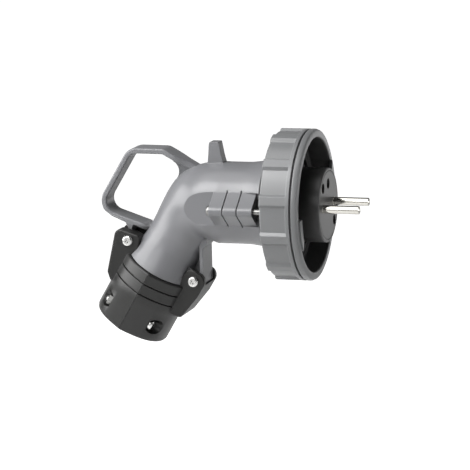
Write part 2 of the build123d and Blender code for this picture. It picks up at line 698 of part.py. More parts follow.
# Web under the tube: a thin plate with a wide front flange, and the lugs that carry the clamp
root_s = NECK_R - BODY_WALL
web_back_x = WEB_X - WEB_FLANGE_T
tube_under_z = -TUBE_R + BODY_WALL
web_low_t = (clamp_point(lug_s, 0)[0] - WEB_X) / math.sin(math.radians(tilt))
web_low_z = clamp_point(lug_s, web_low_t)[1]
lug_low = clamp_point(lug_low_s, lug_end)
lug_back = clamp_point(root_s, lug_end)
ledge_z = clamp_point(lug_s, LUG_TOP)[1]
body += xz_prism([(WEB_X, tube_under_z), (WEB_X, web_low_z), lug_low, lug_back,
                  clamp_point(root_s / 2, bend_r * WEB_ROOT)], WEB_T / 2)
body += xz_prism([(WEB_X + WEB_FOOT, tube_under_z), (WEB_X + WEB_FOOT, -TUBE_R), (WEB_X, -TUBE_R - WEB_FOOT),
                  (WEB_X, web_low_z), lug_low, lug_back, clamp_point(root_s, LUG_TOP),
                  (web_back_x, ledge_z), (web_back_x, tube_under_z)], LUG_HALF_T)
flare_s = -outer_lug_s - OUTER_LUG_FLARE
flare_t = OUTER_LUG_TOP + OUTER_LUG_FLARE / 3
stem_top = OUTER_LUG_TOP - OUTER_LUG_RISE
body += xz_prism([clamp_point(-root_s, OUTER_LEDGE), clamp_point(-outer_stem_s, OUTER_LEDGE),
                  clamp_point(-outer_stem_s, stem_top), clamp_point(flare_s, OUTER_LUG_TOP),
                  clamp_point(flare_s, flare_t), clamp_point(-outer_lug_s, flare_t + OUTER_LUG_FLARE),
                  clamp_point(-outer_lug_s, lug_end), clamp_point(-root_s, lug_end)], LOOP_W / 2)

# Hollow inside, seat of the carrier and the screw holes
body -= elbow_solid(BODY_WALL, CUT_PAST)
body -= x_rod(body_seat_r, carrier_back_x - SLIDE_GAP, BODY_END_X + CUT_PAST)
body -= x_rod(block_r + LOOSE_GAP, block_back_x - CUT_PAST, BODY_END_X + CUT_PAST)
for side in (-1, 1):
    body -= x_rod(M4_HOLE_R, BOSS_SEAT_X - CUT_PAST, BODY_END_X + CUT_PAST, side * flange_screw_y)
    ear_x, ear_z = clamp_point(side * ear_screw_s, EAR_SCREW_T)
    body -= y_rod(M4_HOLE_R, LUG_HALF_T + CUT_PAST, ear_x, ear_z)
save(body, "elbow_body")

# Long screws from the side bosses into the shroud
flange_screw_len = screw_reach - STOP_SLACK - BOSS_SEAT_X
flange_screw = pan_screw(flange_screw_len, M4_R, M4_HEAD_R, M4_HEAD_H, FLANGE_SCREW_SPIN, cross=True)
flange_screws = []
for side in (-1, 1):
    flange_screws.append(Pos(BOSS_SEAT_X - SEAT_GAP, side * flange_screw_y, 0) * flange_screw)
save(Compound(flange_screws), "flange_screws")

# Cable clamp halves, built round Z and moved on to the cable axis. Each half is turned about an axis
# a little past the seam, so the two meet at a soft ridge.
third = (BAND_END - CLAMP_TOP) / 3
half_groove = BAND_GROOVE_W / 2
band_turn_r = band_r + SEAM_SHIFT
barrel_turn_r = barrel_r + SEAM_SHIFT
band_in = band_turn_r - BAND_GROOVE_DEPTH
clamp_profile = [(0, -CLAMP_TOP), (band_turn_r - BAND_BREAK, -CLAMP_TOP),
                 (band_turn_r, -CLAMP_TOP - BAND_BREAK)]
for k in (1, 2):
    mid = -CLAMP_TOP - k * third
    clamp_profile += [(band_turn_r, mid + half_groove), (band_in, mid + half_groove / 2),
                      (band_in, mid - half_groove / 2), (band_turn_r, mid - half_groove)]
barrel_break = 0.3 * BARREL_ROUND
clamp_profile += [
    (band_turn_r, -BAND_END + BAND_BREAK), (barrel_turn_r, -BAND_END),
    (barrel_turn_r, -CLAMP_END + BARREL_ROUND), (barrel_turn_r - barrel_break, -CLAMP_END + barrel_break),
    (barrel_turn_r - BARREL_ROUND, -CLAMP_END), (0, -CLAMP_END),
]
shell = z_turned(clamp_profile)
cable_way = z_rod(collar_bore_r, -ENTRY_TOP, 0)
entry_mouth = entry_r + ENTRY_CHAMFER
cable_way += z_turned([(0, -ENTRY_TOP + CUT_PAST), (entry_r, -ENTRY_TOP + CUT_PAST),
                       (entry_r, -CLAMP_END + ENTRY_CHAMFER), (entry_mouth, -CLAMP_END),
                       (entry_mouth, -CLAMP_END - CUT_PAST), (0, -CLAMP_END - CUT_PAST)])
side_box = 4 * CLAMP_END
recess_end = barrel_r + BARREL_ROUND + PINCH_RECESS_R
slot_top = CLAMP_TOP / 2
slot_in = ear_screw_s - NECK_R
slot_out = ear_screw_s + NECK_R
slot_step = web_low_t + LOOSE_GAP
outer_slot = ((slot_in, slot_top), (slot_out, slot_top), (slot_out, CLAMP_TOP), (slot_in, CLAMP_TOP))
inner_slot = ((slot_in, slot_top), (slot_out, slot_top), (slot_out, slot_step),
              (lug_s + LOOSE_GAP, slot_step), (lug_low_s + LOOSE_GAP, CLAMP_TOP), (slot_in, CLAMP_TOP))
outer_half = ("clamp_half_outer", -1, OUTER_EAR, outer_slot, LOOP_W / 2 + LOOSE_GAP)
inner_half = ("clamp_half_inner", 1, INNER_EAR, inner_slot, LUG_HALF_T + LOOSE_GAP)
for name, side, ear_corners, slot_corners, slot_half in (outer_half, inner_half):
    corners = [(side * (ear_screw_s + s), -EAR_SCREW_T - t, r) for s, t, r in ear_corners]
    ear = extrude(Plane.XZ * rounded_flat(corners), EAR_HALF_T, both=True)
    face_edges = ear.edges().group_by(Axis.Y)
    ear = chamfer(face_edges[0] + face_edges[-1], EAR_EDGE)
    ear -= xz_prism([(side * s, -t) for s, t in slot_corners], slot_half)
    half = Pos(-side * SEAM_SHIFT, 0, 0) * shell + ear
    half -= cable_way
    half -= Pos(side * ear_screw_s, 0, -EAR_SCREW_T) * Rot(90, 0, 0) * Cylinder(M4_HOLE_R, 3 * EAR_HALF_T)
    for y in (-pinch_y, pinch_y):
        half -= x_rod(M4_HOLE_R, -side * CUT_PAST, side * recess_end, y, -PINCH_T)
        half -= x_rod(PINCH_RECESS_R, side * PINCH_SEAT, side * recess_end, y, -PINCH_T)
    half &= Pos(side * (HALF_GAP + side_box / 2), 0, 0) * Box(side_box, side_box, side_box)
    save(cable_frame * half, name)

# Ear screws through both ears and the body's lugs, nuts on the far side
ear_screw_len = 2 * EAR_HALF_T + M4_NUT_H + EAR_SCREW_TAIL
ear_screw = pan_screw(ear_screw_len, M4_R, M4_HEAD_R, M4_HEAD_H, EAR_SCREW_SPIN, cross=True)
ear_screws = []
ear_nuts = []
nut_blank = hex_bar(M4_NUT_AF, 0, M4_NUT_H) - x_rod(M4_R + SLIDE_GAP, -CUT_PAST, M4_NUT_H + CUT_PAST)
for side in (-1, 1):
    ear_x, ear_z = clamp_point(side * ear_screw_s, EAR_SCREW_T)
    ear_screws.append(Pos(ear_x, -EAR_HALF_T - SEAT_GAP, ear_z) * Rot(0, 0, 90) * ear_screw)
    ear_nuts.append(Pos(ear_x, EAR_HALF_T + SEAT_GAP, ear_z) * Rot(0, 0, 90) * nut_blank)
save(Compound(ear_screws), "ear_screws")
save(Compound(ear_nuts), "ear_nuts")

# Pinch screws across the barrel, heads on the inner side, nuts on the outer side
pinch_len = 2 * PINCH_SEAT + M4_NUT_H + PINCH_TAIL
pinch_screw = Rot(0, 0, 180) * pan_screw(pinch_len, M4_R, M4_HEAD_R, M4_HEAD_H, PINCH_SPIN)
pinch_screws = []
pinch_nuts = []
for side in (-1, 1):
    pinch_screws.append(cable_frame * Pos(PINCH_SEAT + SEAT_GAP, side * pinch_y, -PINCH_T) * pinch_screw)
    nut_at = Pos(-PINCH_SEAT - SEAT_GAP - M4_NUT_H, side * pinch_y, -PINCH_T)
    pinch_nuts.append(cable_frame * nut_at * nut_blank)
save(Compound(pinch_screws), "pinch_screws")
save(Compound(pinch_nuts), "pinch_nuts")

# Rubber grommet and its washer
grommet_end = grommet_top + GROMMET_LEN
grommet_mouth = GROMMET_IN_R + GROMMET_CHAMFER
grommet = z_turned([
    (grommet_mouth, -grommet_top), (grommet_r, -grommet_top), (grommet_r, -grommet_end),
    (grommet_mouth, -grommet_end), (GROMMET_IN_R, -grommet_end + GROMMET_CHAMFER),
    (GROMMET_IN_R, -grommet_top - GROMMET_CHAMFER),
])
save(cable_frame * grommet, "cable_grommet")
washer = z_rod(grommet_r, -washer_top - WASHER_T, -washer_top)
washer -= z_rod(WASHER_IN_R, -washer_top - 2 * WASHER_T, -washer_top + WASHER_T)
save(cable_frame * washer, "grommet_washer")
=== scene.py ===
"""Dresses an angled industrial plug for a plain studio picture.

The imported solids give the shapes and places. This script gives the visible pieces smooth surfaces,
shapes the finger loop, the neck and the cable clamp more finely, gives every piece its finish, and
sets the floor, the lamps and the camera.
"""

import json
import logging
import math
from dataclasses import dataclass, field
from enum import Enum

import bmesh
import bpy
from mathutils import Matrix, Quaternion, Vector


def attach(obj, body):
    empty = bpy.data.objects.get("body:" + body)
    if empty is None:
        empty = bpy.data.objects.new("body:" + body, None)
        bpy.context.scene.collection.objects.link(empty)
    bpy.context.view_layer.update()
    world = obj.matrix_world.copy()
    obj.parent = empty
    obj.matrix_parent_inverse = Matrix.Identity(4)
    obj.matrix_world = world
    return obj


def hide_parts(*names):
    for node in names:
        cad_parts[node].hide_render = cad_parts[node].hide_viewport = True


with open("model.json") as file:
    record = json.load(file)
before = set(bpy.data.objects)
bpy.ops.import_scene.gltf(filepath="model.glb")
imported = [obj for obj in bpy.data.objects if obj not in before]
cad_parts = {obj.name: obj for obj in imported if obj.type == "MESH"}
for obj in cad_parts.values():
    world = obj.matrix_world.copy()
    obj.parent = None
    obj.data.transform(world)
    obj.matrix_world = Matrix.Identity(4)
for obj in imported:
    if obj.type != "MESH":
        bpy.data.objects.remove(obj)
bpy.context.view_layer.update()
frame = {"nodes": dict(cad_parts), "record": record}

LOG = logging.getLogger("plug")
MM = 0.001
WHITE = "ffffff"
PAPER = "f4f4f4"
BEVEL_SAMPLES = 6
# Colour inputs and colour output of a Mix node, by number because several share a name.
MIX_A, MIX_B, MIX_RESULT = 6, 7, 2
# Length of one band of the wave texture at a scale of 1.
WAVE_LENGTH = 0.314
# Brings the peak of u * (1 - u) ** 2 to 1.
HUMP_SCALE = 27.0 / 4.0
Colour = tuple[float, float, float, float]


class Body(Enum):
    """Bodies that pieces ride on."""

    HOUSING = "housing"
    RING = "ring"


class Slot(Enum):
    """Material slots of the record."""

    HOUSING = "grey_housing"
    RING = "grey_ring"
    SHROUD = "black_shroud"
    CARRIER = "black_carrier"
    CLAMP = "black_clamp"
    PLATING = "contact_plating"
    BRASS = "contact_brass"
    STEEL = "steel"
    RUBBER = "black_rubber"
    WASHER = "washer_plastic"


def linear(hex_colour: str) -> Colour:
    """Turns an sRGB hex colour to linear values.

    Args:
        hex_colour: six hex digits, red first.

    Returns:
        Linear red, green, blue and an alpha of 1.
    """
    values = [int(hex_colour[i:i + 2], 16) / 255 for i in (0, 2, 4)]
    bent = [v / 12.92 if v <= 0.04045 else ((v + 0.055) / 1.055) ** 2.4 for v in values]
    return bent[0], bent[1], bent[2], 1.0


def eased(share: float) -> float:
    """Keeps a share between 0 and 1 and eases it at both ends.

    Args:
        share: any share.

    Returns:
        The eased share.
    """
    share = min(max(share, 0.0), 1.0)
    return share * share * (3.0 - 2.0 * share)


def add_node(tree: bpy.types.NodeTree, kind: str, settings: dict | None = None,
             links: dict | None = None) -> bpy.types.Node:
    """Adds one shader node.

    Args:
        tree: node tree that gets the node.
        kind: type name of the node.
        settings: properties by name, and input values by input name or number.
        links: output sockets by the name or number of the input they feed.

    Returns:
        The new node.
    """
    node = tree.nodes.new(kind)
    for key, value in (settings or {}).items():
        if isinstance(key, str) and hasattr(node, key):
            setattr(node, key, value)
        else:
            node.inputs[key].default_value = value
    for key, socket in (links or {}).items():
        tree.links.new(socket, node.inputs[key])
    return node


def new_material(name: str) -> tuple[bpy.types.Material, bpy.types.NodeTree]:
    """Makes an empty node material.

    Args:
        name: name of the material.

    Returns:
        The material and its cleared node tree.
    """
    material = bpy.data.materials.new(name)
    material.use_nodes = True
    material.node_tree.nodes.clear()
    return material, material.node_tree


def add_object(name: str, data: bpy.types.ID) -> bpy.types.Object:
    """Adds an object to the scene, at the origin.

    Args:
        name: name of the object.
        data: its mesh, lamp or camera.

    Returns:
        The new object.
    """
    made = bpy.data.objects.new(name, data)
    bpy.context.scene.collection.objects.link(made)
    return made


@dataclass(frozen=True)
class PieceFinish:
    """What all finishes have: two tones that drift into each other, a sheen and soft edges."""

    name: str
    colour: str
    drift: str
    roughness: float
    roughness_spread: float
    drift_mm: float = 38.0
    drift_detail: float = 3.0
    drift_roughness: float = 0.55
    edge_mm: float = 0.7

    @staticmethod
    def noise(tree: bpy.types.NodeTree, size_mm: float, detail: float,
              roughness: float) -> bpy.types.NodeSocket:
        """Adds a noise on the piece's own coordinates.

        Args:
            tree: node tree of the material.
            size_mm: size of its features.
            detail: number of finer layers.
            roughness: strength of the finer layers.

        Returns:
            The noise, from 0 to 1.
        """
        place = add_node(tree, "ShaderNodeTexCoord")
        cloud = add_node(tree, "ShaderNodeTexNoise", {
            "Scale": 1 / (size_mm * MM), "Detail": detail, "Roughness": roughness},
            {"Vector": place.outputs["Object"]})
        return cloud.outputs["Fac"]

    def slow(self, tree: bpy.types.NodeTree) -> bpy.types.NodeSocket:
        """Adds the noise that the tone drifts with.

        Args:
            tree: node tree of the material.

        Returns:
            The noise, from 0 to 1.
        """
        return self.noise(tree, self.drift_mm, self.drift_detail, self.drift_roughness)

    def tone(self, tree: bpy.types.NodeTree, share: bpy.types.NodeSocket) -> bpy.types.NodeSocket:
        """Mixes the two tones.

        Args:
            tree: node tree of the material.
            share: share of the second tone.

        Returns:
            The colour.
        """
        mix = add_node(tree, "ShaderNodeMix", {
            "data_type": "RGBA", MIX_A: linear(self.colour), MIX_B: linear(self.drift)},
            {0: share})
        return mix.outputs[MIX_RESULT]

    def gloss(self, tree: bpy.types.NodeTree, share: bpy.types.NodeSocket) -> bpy.types.NodeSocket:
        """Spreads the roughness.

        Args:
            tree: node tree of the material.
            share: 0 for the smoothest spots, 1 for the roughest.

        Returns:
            The roughness.
        """
        spread = add_node(tree, "ShaderNodeMapRange", {
            "To Min": self.roughness - self.roughness_spread,
            "To Max": self.roughness + self.roughness_spread}, {0: share})
        return spread.outputs[0]

    def soft_normal(self, tree: bpy.types.NodeTree) -> bpy.types.NodeSocket:
        """Rounds the edges in the shading.

        Args:
            tree: node tree of the material.

        Returns:
            The rounded normal.
        """
        soft = add_node(tree, "ShaderNodeBevel", {
            "samples": BEVEL_SAMPLES, "Radius": self.edge_mm * MM})
        return soft.outputs["Normal"]


@dataclass(frozen=True)
class MouldedPlastic(PieceFinish):
    """Injection moulded thermoplastic with a spark eroded grain.

    The grain breaks the highlight into a soft sheen, the tone drifts a little where the melt
    flowed, and edges are rounded by the mould and lightened towards white as a painted highlight.
    """

    grain_mm: float = 0.9
    grain_height_mm: float = 0.02
    grain_detail: float = 2.0
    grain_roughness: float = 0.6
    grain_strength: float = 0.6
    # Painted edge highlight: its colour, its largest share, and the normal turns where it starts and
    # is full.
    edge_highlight_colour: str = WHITE
    edge_highlight_share: float = 0.1
    edge_none: float = 0.995
    edge_full: float = 0.8
    ior: float = 1.5
    specular: float = 0.5

    def build(self) -> bpy.types.Material:
        """Builds the material.

        Returns:
            The node material.
        """
        material, tree = new_material(self.name)
        grain = self.noise(tree, self.grain_mm, self.grain_detail, self.grain_roughness)
        soft = self.soft_normal(tree)
        true = add_node(tree, "ShaderNodeNewGeometry")
        turn = add_node(tree, "ShaderNodeVectorMath", {"operation": "DOT_PRODUCT"},
                        {0: soft, 1: true.outputs["True Normal"]})
        # Painted edge highlight: where the rounded normal turns away from the true one, the tone is
        # mixed towards white.
        edge = add_node(tree, "ShaderNodeMapRange", {
            "From Min": self.edge_none, "From Max": self.edge_full, "To Min": 0.0,
            "To Max": self.edge_highlight_share}, {0: turn.outputs["Value"]})
        edge_highlighted = add_node(tree, "ShaderNodeMix", {
            "data_type": "RGBA", MIX_B: linear(self.edge_highlight_colour)},
            {0: edge.outputs[0], MIX_A: self.tone(tree, self.slow(tree))})
        bump = add_node(tree, "ShaderNodeBump", {
            "Strength": self.grain_strength, "Distance": self.grain_height_mm * MM},
            {"Height": grain, "Normal": soft})
        surface = add_node(tree, "ShaderNodeBsdfPrincipled", {
            "IOR": self.ior, "Specular IOR Level": self.specular},
            {"Base Color": edge_highlighted.outputs[MIX_RESULT], "Roughness": self.gloss(tree, grain),
             "Normal": bump.outputs["Normal"]})
        add_node(tree, "ShaderNodeOutputMaterial", None, {"Surface": surface.outputs["BSDF"]})
        return material


@dataclass(frozen=True)
class TurnedMetal(PieceFinish):
    """Turned and plated metal with faint tool rings, which go round the axis of the pins."""

    drift_mm: float = 6.0
    drift_detail: float = 4.0
    drift_roughness: float = 0.5
    edge_mm: float = 0.25
    ring_mm: float = 0.6
    ring_height_mm: float = 0.004
    ring_distortion: float = 1.5
    ring_detail: float = 2.0
    ring_strength: float = 0.4

    def build(self) -> bpy.types.Material:
        """Builds the material.

        Returns:
            The node material.
        """
        material, tree = new_material(self.name)
        place = add_node(tree, "ShaderNodeTexCoord")
        slow = self.slow(tree)
        rings = add_node(tree, "ShaderNodeTexWave", {
            "wave_type": "BANDS", "bands_direction": "X",
            "Scale": WAVE_LENGTH / (self.ring_mm * MM), "Distortion": self.ring_distortion,
            "Detail": self.ring_detail}, {"Vector": place.outputs["Object"]})
        bump = add_node(tree, "ShaderNodeBump", {
            "Strength": self.ring_strength, "Distance": self.ring_height_mm * MM},
            {"Height": rings.outputs["Fac"], "Normal": self.soft_normal(tree)})
        surface = add_node(tree, "ShaderNodeBsdfPrincipled", {"Metallic": 1.0}, {
            "Base Color": self.tone(tree, slow), "Roughness": self.gloss(tree, slow),
            "Normal": bump.outputs["Normal"]})
        add_node(tree, "ShaderNodeOutputMaterial", None, {"Surface": surface.outputs["BSDF"]})
        return material


class Finish(Enum):
    """Finishes of the plug, one for each kind of piece."""

    GREY_HOUSING = MouldedPlastic("grey polyamide housing", "6c6c6f", "727375", 0.3, 0.04)
    GREY_RING = MouldedPlastic("grey polyamide coupling ring", "6f7071", "757677", 0.3, 0.04)
    BLACK_SHROUD = MouldedPlastic("black polyamide shroud", "3e3e3e", "444444", 0.45, 0.05)
    BLACK_CARRIER = MouldedPlastic("black thermoset contact carrier", "383838", "404040", 0.36, 0.05)
    BLACK_CLAMP = MouldedPlastic("black polyamide cable clamp", "191918", "1f1f1e", 0.36, 0.05,
                                 specular=0.43, edge_highlight_share=0.0)
    BLACK_RUBBER = MouldedPlastic("black nitrile rubber", "1c1c1c", "232323", 0.75, 0.05,
                                  specular=0.3)
    DARK_WASHER = MouldedPlastic("dark acetal washer", "4a4a4a", "525252", 0.4, 0.05)
    NICKEL = TurnedMetal("nickel plated contact pin", "c9c6be", "d6d4ce", 0.12, 0.03)
    BRASS = TurnedMetal("turned contact brass", "c9a55a", "d6b46c", 0.3, 0.06)
    ZINC = TurnedMetal("zinc plated steel", "d6d6d4", "e0e0de", 0.24, 0.06)
    # Painted shade: the zinc plated steel made darker and a little rougher, for screws and nuts that
    # sit in shade.
    ROUGH_SHADED_ZINC = TurnedMetal("rougher zinc darkened as painted shade", "7c7c7a", "888886", 0.34, 0.06)


SLOT_FINISH = {
    Slot.HOUSING: Finish.GREY_HOUSING,
    Slot.RING: Finish.GREY_RING,
    Slot.SHROUD: Finish.BLACK_SHROUD,
    Slot.CARRIER: Finish.BLACK_CARRIER,
    Slot.CLAMP: Finish.BLACK_CLAMP,
    Slot.PLATING: Finish.NICKEL,
    Slot.BRASS: Finish.BRASS,
    Slot.STEEL: Finish.ZINC,
    Slot.RUBBER: Finish.BLACK_RUBBER,
    Slot.WASHER: Finish.DARK_WASHER,
}


class Paint:
    """Keeps the built materials and puts them on pieces."""

    def __init__(self) -> None:
        """Builds every finish once."""
        self.made: dict[Finish, bpy.types.Material] = {
            finish: finish.value.build() for finish in Finish}

    def put(self, obj: bpy.types.Object, slot: Slot, finish: Finish | None = None) -> None:
        """Gives a piece the finish of its slot, or one of its own.

        Args:
            obj: mesh object to dress.
            slot: material slot of the record.
            finish: a finish that takes the place of the slot's.
        """
        chosen = finish or SLOT_FINISH[slot]
        obj.data.materials.clear()
        obj.data.materials.append(self.made[chosen])
        LOG.info("%s gets %s", obj.name, chosen.value.name)


@dataclass(frozen=True)
class SoftZone:
    """Both flanks of a piece between two values of x, up to a height above and below the axis."""

    x_from_mm: float = 0.0
    x_to_mm: float = 0.0
    least_side_mm: float = 0.0
    most_height_mm: float = 0.0

    def holds(self, spot: Vector) -> bool:
        """Tells whether a point lies in the zone.

        Args:
            spot: point in metres.

        Returns:
            True inside the zone.
        """
        beside = abs(spot.y) > self.least_side_mm * MM and abs(spot.z) < self.most_height_mm * MM
        return beside and self.x_from_mm * MM < spot.x < self.x_to_mm * MM


@dataclass
class SmoothPiece:
    """A piece with the solid's own shape, its facets joined and shaded as one surface."""

    node: str
    slot: Slot
    body: Body
    merge_mm: float = 0.002
    crease_deg: float = 28.0
    soft_deg: float = 28.0
    soft_zone: SoftZone = SoftZone()
    finish: Finish | None = None

    def limit_at(self, spot: Vector) -> float:
        """Gives the angle up to which an edge is shaded smooth.

        Args:
            spot: middle of the edge in metres.

        Returns:
            Angle in radians, of its own inside the soft zone.
        """
        return math.radians(self.soft_deg if self.soft_zone.holds(spot) else self.crease_deg)

    def cut(self, work: bmesh.types.BMesh, spot: Vector, normal: Vector) -> None:
        """Splits the faces along a plane and removes nothing.

        Args:
            work: the joined mesh in metres.
            spot: a point of the plane in metres.
            normal: direction square to the plane.
        """
        everything = work.verts[:] + work.edges[:] + work.faces[:]
        bmesh.ops.bisect_plane(work, geom=everything, dist=self.merge_mm * MM, plane_co=spot,
                               plane_no=normal)

    def form(self, work: bmesh.types.BMesh) -> None:
        """Shapes the joined surface further. A plain piece stays as it is.

        Args:
            work: the joined mesh in metres.
        """

    def build(self, paint: Paint) -> None:
        """Builds the piece in place of its node.

        Args:
            paint: the materials.
        """
        mesh = bpy.data.meshes.new(self.node + "_surface")
        work = bmesh.new()
        work.from_mesh(frame["nodes"][self.node].data)
        bmesh.ops.remove_doubles(work, verts=work.verts, dist=self.merge_mm * MM)
        self.form(work)
        for face in work.faces:
            face.smooth = True
        for edge in work.edges:
            middle = (edge.verts[0].co + edge.verts[1].co) / 2
            paired = len(edge.link_faces) == 2
            edge.smooth = paired and edge.calc_face_angle(0.0) < self.limit_at(middle)
        work.to_mesh(mesh)
        work.free()
        piece = add_object(self.node + "_surface", mesh)
        paint.put(piece, self.slot, self.finish)
        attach(piece, self.body.value)
        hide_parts(self.node)


@dataclass(frozen=True)
class CableAxis:
    """The line that the cable leaves along, in the XZ plane."""

    corner_x_mm: float = -90.4
    tilt_deg: float = 30.4

    def across(self) -> Vector:
        """Gives the direction across the cable, away from the finger loop.

        Returns:
            Unit vector.
        """
        tilt = math.radians(self.tilt_deg)
        return Vector((math.cos(tilt), 0.0, -math.sin(tilt)))

    def along(self) -> Vector:
        """Gives the direction that the cable leaves in.

        Returns:
            Unit vector.
        """
        tilt = math.radians(self.tilt_deg)
        return Vector((-math.sin(tilt), 0.0, -math.cos(tilt)))

    def outward(self, s: float, y: float) -> Vector:
        """Gives the vector square to the cable with these parts.

        Args:
            s: part across the cable.
            y: part along Y.

        Returns:
            The vector, in the unit of its parts.
        """
        return self.across() * s + Vector((0.0, y, 0.0))

    def place(self, spot: Vector) -> tuple[float, float]:
        """Gives a point's distances across and along the cable.

        Args:
            spot: point in metres.

        Returns:
            Both distances in millimetres.
        """
        arm = spot / MM - Vector((self.corner_x_mm, 0.0, 0.0))
        return arm.dot(self.across()), arm.dot(self.along())


CABLE = CableAxis()


@dataclass
class ClampHalf(SmoothPiece):
    """Half of the cable clamp, whose shell is flatter beside the seam, so the seam is a ridge."""

    skin_mm: float = 25.5
    ear_half_mm: float = 16.5
    flat_deg: float = 50.0
    flat_depth_mm: float = 0.7
    cuts: int = 8
    join_deg: float = 1.5
    ear_screw_s_mm: float = 28.8
    ear_screw_t_mm: float = 49.2
    ear_face_mm: float = 15.6
    ear_edge_mm: float = 0.8
    ear_round_mm: float = 9.1
    ear_above_mm: float = 2.0

    def round_ear(self, work: bmesh.types.BMesh) -> None:
        """Draws the ear's upper inner corner in to an arc round its screw.

        Args:
            work: the joined mesh in metres.
        """
        for vert in work.verts:
            s, t = CABLE.place(vert.co)
            y = abs(vert.co.y) / MM
            off_s, off_t = abs(s) - self.ear_screw_s_mm, t - self.ear_screw_t_mm
            reach = math.hypot(off_s, off_t)
            limit = self.ear_round_mm - (self.ear_edge_mm if y > self.ear_face_mm else 0.0)
            in_corner = off_s < 0.0 and off_t < -self.ear_above_mm
            if y < self.ear_half_mm and in_corner and reach > limit:
                draw = limit / reach - 1.0
                off = CABLE.across() * math.copysign(off_s, s * off_s) + CABLE.along() * off_t
                vert.co += off * (draw * MM)

    def form(self, work: bmesh.types.BMesh) -> None:
        """Rounds the ear, cuts the shell into narrow strips and lowers them beside the seam.

        Args:
            work: the joined mesh in metres.
        """
        self.round_ear(work)
        corner = Vector((CABLE.corner_x_mm * MM, 0.0, 0.0))
        for k in range(1, self.cuts + 1):
            turn = math.radians(self.flat_deg * k / self.cuts)
            for y_sign in (-1.0, 1.0):
                for s_sign in (-1.0, 1.0):
                    out = CABLE.outward(s_sign * math.sin(turn), y_sign * math.cos(turn))
                    self.cut(work, corner, out.cross(CABLE.along()))
        for vert in work.verts:
            s, _ = CABLE.place(vert.co)
            y = vert.co.y / MM
            reach = math.hypot(s, y)
            share = math.degrees(math.atan2(abs(s), abs(y))) / self.flat_deg
            if reach > self.skin_mm and abs(y) > self.ear_half_mm and share < 1.0:
                depth = self.flat_depth_mm * HUMP_SCALE * share * (1.0 - share) ** 2
                vert.co -= CABLE.outward(s, y) * (depth * MM / reach)
        bmesh.ops.dissolve_limit(work, angle_limit=math.radians(self.join_deg), verts=work.verts,
                                 edges=work.edges)


